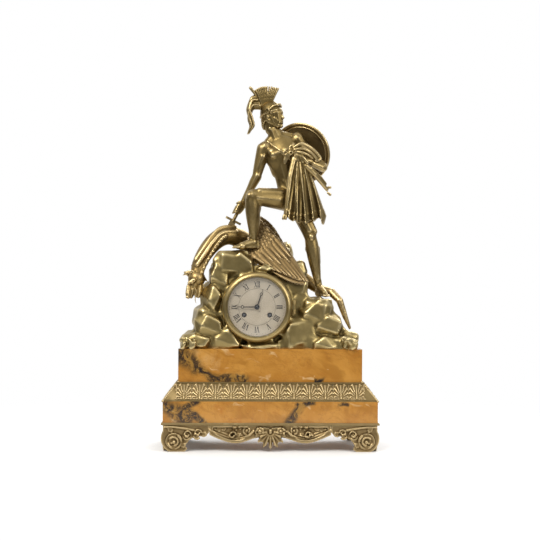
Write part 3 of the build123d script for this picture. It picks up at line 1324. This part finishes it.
with BuildPart() as pendulum_rod:
    with BuildSketch(clock_plane(PENDULUM_Y + SPRING_WIDTH / 2, PALLETS)):
        with Locations((0, SPRING_LENGTH / 2)):
            Rectangle(SPRING_SHEET, 2 * SPRING_LENGTH + 2, align=(Align.CENTER, Align.MAX))
        with Locations((0, SPRING_LENGTH / 2 + 1.5)):
            Rectangle(4, 1.6, align=(Align.CENTER, Align.MIN))
        with Locations((0, SPRING_LENGTH / 2)):
            Rectangle(SPRING_SHEET, 1.6, align=(Align.CENTER, Align.MIN))
        with Locations((0, -SPRING_LENGTH - 1)):
            Rectangle(5, 4)
    extrude(amount=SPRING_WIDTH)
    with BuildSketch(Plane.XY.offset(CLOCK_Z + PALLETS[1] - SPRING_LENGTH - 2)):
        with Locations((CLOCK_X, PENDULUM_Y)):
            Circle(PENDULUM_ROD_RADIUS)
    extrude(amount=-(PENDULUM_LENGTH + BOB_RADIUS + 5 - SPRING_LENGTH - 2))
keep("pendulum_rod", pendulum_rod)

bob_centre = Vector(CLOCK_X, PENDULUM_Y, CLOCK_Z + PALLETS[1] - PENDULUM_LENGTH)
BOB_EDGE = 0.8
BOB_DOME = (BOB_THICKNESS - BOB_EDGE) / 2
BOB_SPHERE = (BOB_RADIUS**2 + BOB_DOME**2) / (2 * BOB_DOME)
bob_half = math.degrees(math.asin(BOB_RADIUS / BOB_SPHERE))
with BuildPart() as pendulum_bob:
    with BuildSketch(Plane(origin=bob_centre, x_dir=(1, 0, 0), z_dir=(0, 0, 1))):
        with BuildLine():
            lens = CenterArc((0, BOB_THICKNESS / 2 - BOB_SPHERE), BOB_SPHERE, 90, -bob_half)
            rim = Line(lens @ 1, (BOB_RADIUS, -BOB_EDGE / 2))
            back_lens = CenterArc((0, BOB_SPHERE - BOB_THICKNESS / 2), BOB_SPHERE, bob_half - 90, -bob_half)
            Line(back_lens @ 1, lens @ 0)
        make_face()
    revolve(axis=Axis(bob_centre, (0, 1, 0)))
    with BuildSketch(Plane.XY.offset(bob_centre.Z - 2 * BOB_RADIUS)):
        with Locations((CLOCK_X, PENDULUM_Y)):
            Circle(PENDULUM_ROD_RADIUS + RUNNING_CLEARANCE)
    extrude(amount=4 * BOB_RADIUS, mode=Mode.SUBTRACT)
    # Rating nut that carries the bob
    with BuildSketch(Plane.XY.offset(bob_centre.Z - BOB_RADIUS + 1.5)):
        with Locations((CLOCK_X, PENDULUM_Y)):
            Circle(3)
            Circle(PENDULUM_ROD_RADIUS + RUNNING_CLEARANCE, mode=Mode.SUBTRACT)
    extrude(amount=-4)
keep("pendulum_bob", pendulum_bob)

# Striking train: barrel, second wheel with the count wheel, pin wheel, locking wheel and fly
COUNT_RADIUS = 11.0
COUNT_NOTCHES = 12
with BuildPart() as strike_second_wheel:
    add(arbor(
        STRIKE_SECOND,
        (STRIKE_SECOND_TEETH, pitch(STRIKE_SECOND, STRIKE_SECOND_TEETH, PIN_WHEEL, LEAVES), 0, 26.5, 28),
        (LEAVES, pitch(STRIKE_BARREL, GREAT_TEETH, STRIKE_SECOND, LEAVES),
         meshed(STRIKE_BARREL, GREAT_TEETH, STRIKE_SECOND, LEAVES), 20, 26),
        (GAP_FRONT_Y + END_SHAKE, BACK_PLATE_Y + 3),
    ))
    with BuildSketch(clock_plane(BACK_PLATE_Y + 2.5, STRIKE_SECOND)):
        Circle(COUNT_RADIUS)
        with PolarLocations(COUNT_RADIUS, COUNT_NOTCHES):
            Rectangle(2.4, 1.4, mode=Mode.SUBTRACT)
    extrude(amount=1.2)
keep("strike_second_wheel", strike_second_wheel)

HAMMER_PINS = 10
PIN_CIRCLE = 8.6
with BuildPart() as pin_wheel:
    add(arbor(
        PIN_WHEEL,
        (PIN_TEETH, pitch(PIN_WHEEL, PIN_TEETH, LOCKING, FINE_LEAVES), 0, 22, 23.2),
        (LEAVES, pitch(STRIKE_SECOND, STRIKE_SECOND_TEETH, PIN_WHEEL, LEAVES),
         meshed(STRIKE_SECOND, STRIKE_SECOND_TEETH, PIN_WHEEL, LEAVES), 25.5, 29),
        BETWEEN_PLATES,
    ))
    with BuildSketch(clock_plane(level(22), PIN_WHEEL)):
        with PolarLocations(PIN_CIRCLE, HAMMER_PINS):
            Circle(0.5)
    extrude(amount=2)
keep("pin_wheel", pin_wheel)

with BuildPart() as locking_wheel:
    add(arbor(
        LOCKING,
        (LOCKING_TEETH, pitch(LOCKING, LOCKING_TEETH, FLY, FINE_LEAVES), 0, 14, 15.2),
        (FINE_LEAVES, pitch(PIN_WHEEL, PIN_TEETH, LOCKING, FINE_LEAVES),
         meshed(PIN_WHEEL, PIN_TEETH, LOCKING, FINE_LEAVES), 21.4, 24),
        BETWEEN_PLATES,
    ))
keep("locking_wheel", locking_wheel)

FLY_SPAN = 11.0
with BuildPart() as fly:
    add(arbor(
        FLY,
        None,
        (FINE_LEAVES, pitch(LOCKING, LOCKING_TEETH, FLY, FINE_LEAVES),
         meshed(LOCKING, LOCKING_TEETH, FLY, FINE_LEAVES), 13, 16.4),
        BETWEEN_PLATES,
    ))
    with BuildSketch(clock_plane(level(11), FLY)):
        Rectangle(FLY_SPAN, 0.8)
    extrude(amount=6)
keep("fly", fly)

# Bell on its stand behind the back plate, and the hammer that strikes its rim
BELL_RIM_Y = BACK_PLATE_Y + 15.0
BELL_TOP_Y = BELL_RIM_Y + BELL_DEPTH
BELL_BORE = 3.0
BELL_BOSS = 8.0
HAMMER_GAP = 0.6
HAMMER_HEAD = 3.4
HAMMER_LEVEL = BELL_RIM_Y + 2.0
bell_axis = Vector(CLOCK_X + BELL_PLACE[0], 0, CLOCK_Z + BELL_PLACE[1])
with BuildPart() as bell:
    with BuildSketch(Plane(origin=bell_axis, x_dir=(1, 0, 0), z_dir=(0, 0, 1))):
        with BuildLine():
            lip = Line((BELL_RADIUS - BELL_WALL, BELL_RIM_Y), (BELL_RADIUS, BELL_RIM_Y))
            outside = Spline(lip @ 1, (BELL_BOSS, BELL_TOP_Y), tangents=((0, 1), (-1, 0)))
            seat = Polyline(
                outside @ 1, (BELL_BORE, BELL_TOP_Y), (BELL_BORE, BELL_TOP_Y - BELL_WALL),
                (BELL_BOSS, BELL_TOP_Y - BELL_WALL),
            )
            Spline(seat @ 1, lip @ 0, tangents=((1, 0), (0, -1)))
        make_face()
    revolve(axis=Axis(bell_axis, (0, 1, 0)))
keep("bell", bell)

with BuildPart() as bell_stand:
    with BuildSketch(clock_plane(BELL_TOP_Y + 2, BELL_PLACE)):
        Circle(BELL_BORE - RUNNING_CLEARANCE)
    extrude(amount=BELL_TOP_Y + 2 - BACK_PLATE_Y)
    for nut_back in (BELL_TOP_Y + 2, BELL_TOP_Y - BELL_WALL, BACK_PLATE_Y + 2):
        with BuildSketch(clock_plane(nut_back, BELL_PLACE)):
            Circle(BELL_BORE + 2)
        extrude(amount=2)
keep("bell_stand", bell_stand)

HEAD_PLACE = (BELL_PLACE[0] - BELL_RADIUS - HAMMER_GAP - HAMMER_HEAD, BELL_PLACE[1])
hammer_arm = Vector(HEAD_PLACE[0] - HAMMER[0], HEAD_PLACE[1] - HAMMER[1])
with BuildPart() as hammer:
    add(arbor(HAMMER, None, None, (GAP_FRONT_Y + END_SHAKE, HAMMER_LEVEL + 1.5)))
    with BuildSketch(clock_plane(HAMMER_LEVEL + 1.2, HAMMER)):
        with Locations(Location((hammer_arm.X / 2, hammer_arm.Y / 2), (0, 0, bearing(HAMMER, HEAD_PLACE)))):
            Rectangle(hammer_arm.length, 2.2)
    extrude(amount=2.4)
    with BuildSketch(clock_plane(HAMMER_LEVEL + 4, HEAD_PLACE)):
        Circle(HAMMER_HEAD)
    extrude(amount=8)
    with BuildSketch(clock_plane(level(21.5), HAMMER)):
        Circle(2.8)
    extrude(amount=1.6)
keep("hammer", hammer)

# Motion work and hands in front of the movement
CANNON_TEETH = 12
MINUTE_TEETH = 36
HOUR_PINION = 10
HOUR_TEETH = 40
CANNON_BORE = CENTRE_POST + RUNNING_CLEARANCE
CANNON_PIPE = 1.9
HOUR_PIPE = 3.0
MINUTE_HAND_Y = DIAL_FRONT_Y - 4.6
HOUR_HAND_Y = DIAL_FRONT_Y - 2.2
HAND_THICKNESS = 0.8
HOUR_ANGLE = 18.0

with BuildPart() as cannon_pinion:
    with BuildSketch(clock_plane(FRONT_PLATE_Y - 0.4)):
        add(toothed(CANNON_TEETH, pitch(CENTRE, CANNON_TEETH, MINUTE_STUD, MINUTE_TEETH), 0, PINION_LEAF))
        Circle(CANNON_BORE, mode=Mode.SUBTRACT)
    extrude(amount=1.8)
    with BuildSketch(clock_plane(FRONT_PLATE_Y - 0.4)):
        Circle(CANNON_PIPE)
        Circle(CANNON_BORE, mode=Mode.SUBTRACT)
    extrude(amount=FRONT_PLATE_Y - 0.4 - MINUTE_HAND_Y)
keep("cannon_pinion", cannon_pinion)


def minute_turn():
    """Turn of the minute wheel that sets its teeth between the leaves of the cannon pinion."""
    line = bearing(CENTRE, MINUTE_STUD)
    return line + 180 + CANNON_TEETH / MINUTE_TEETH * line - 180 / MINUTE_TEETH


def hour_turn():
    """Turn of the hour wheel that meshes with the minute pinion, which starts at zero."""
    line = bearing(MINUTE_STUD, CENTRE)
    return line + 180 + HOUR_PINION / HOUR_TEETH * line - 180 / HOUR_TEETH


with BuildPart() as minute_wheel:
    with BuildSketch(clock_plane(FRONT_PLATE_Y - 0.4, MINUTE_STUD)):
        add(toothed(MINUTE_TEETH, pitch(CENTRE, CANNON_TEETH, MINUTE_STUD, MINUTE_TEETH),
            minute_turn(), WHEEL_TOOTH))
        Circle(1 + RUNNING_CLEARANCE, mode=Mode.SUBTRACT)
    extrude(amount=1.4)
    with BuildSketch(clock_plane(FRONT_PLATE_Y - 0.4, MINUTE_STUD)):
        add(toothed(HOUR_PINION, pitch(MINUTE_STUD, HOUR_PINION, CENTRE, HOUR_TEETH), 0, PINION_LEAF))
        Circle(1 + RUNNING_CLEARANCE, mode=Mode.SUBTRACT)
    extrude(amount=5.2)
keep("minute_wheel", minute_wheel)

with BuildPart() as hour_wheel:
    with BuildSketch(clock_plane(FRONT_PLATE_Y - 3.2)):
        add(toothed(HOUR_TEETH, pitch(MINUTE_STUD, HOUR_PINION, CENTRE, HOUR_TEETH), hour_turn(),
            WHEEL_TOOTH))
        Circle(CANNON_PIPE + RUNNING_CLEARANCE, mode=Mode.SUBTRACT)
    extrude(amount=1.4)
    with BuildSketch(clock_plane(FRONT_PLATE_Y - 3.2)):
        Circle(HOUR_PIPE)
        Circle(CANNON_PIPE + RUNNING_CLEARANCE, mode=Mode.SUBTRACT)
    extrude(amount=FRONT_PLATE_Y - 3.2 - HOUR_HAND_Y)
keep("hour_wheel", hour_wheel)


def hand(depth, length, ring_share, ring_radius, boss, bore, clockwise):
    """Slender hand with an open moon ring, pointing clockwise from twelve by the given angle."""
    ring = ring_share * length
    angle = math.radians(clockwise)
    face = Plane(
        origin=(CLOCK_X, depth, CLOCK_Z), x_dir=(math.cos(angle), 0, -math.sin(angle)), z_dir=(0, -1, 0)
    )
    with BuildPart() as solid:
        with BuildSketch(face):
            with BuildLine():
                Polyline((-1.1, 0), (-0.7, ring), (-0.25, length), (0.25, length), (0.7, ring),
                    (1.1, 0), close=True)
            make_face()
            with Locations((0, ring)):
                Circle(ring_radius)
                Circle(0.6 * ring_radius, mode=Mode.SUBTRACT)
            Circle(boss)
            if bore:
                Circle(bore, mode=Mode.SUBTRACT)
        extrude(amount=HAND_THICKNESS)
    return solid


hour_hand = hand(HOUR_HAND_Y, HOUR_HAND_LENGTH, 0.72, 2.6, 4.6, CANNON_PIPE + RUNNING_CLEARANCE, HOUR_ANGLE)
keep("hour_hand", hour_hand)
minute_hand = hand(MINUTE_HAND_Y, MINUTE_HAND_LENGTH, 0.57, 3.0, 3.6, 0, 270.0)
keep("minute_hand", minute_hand)
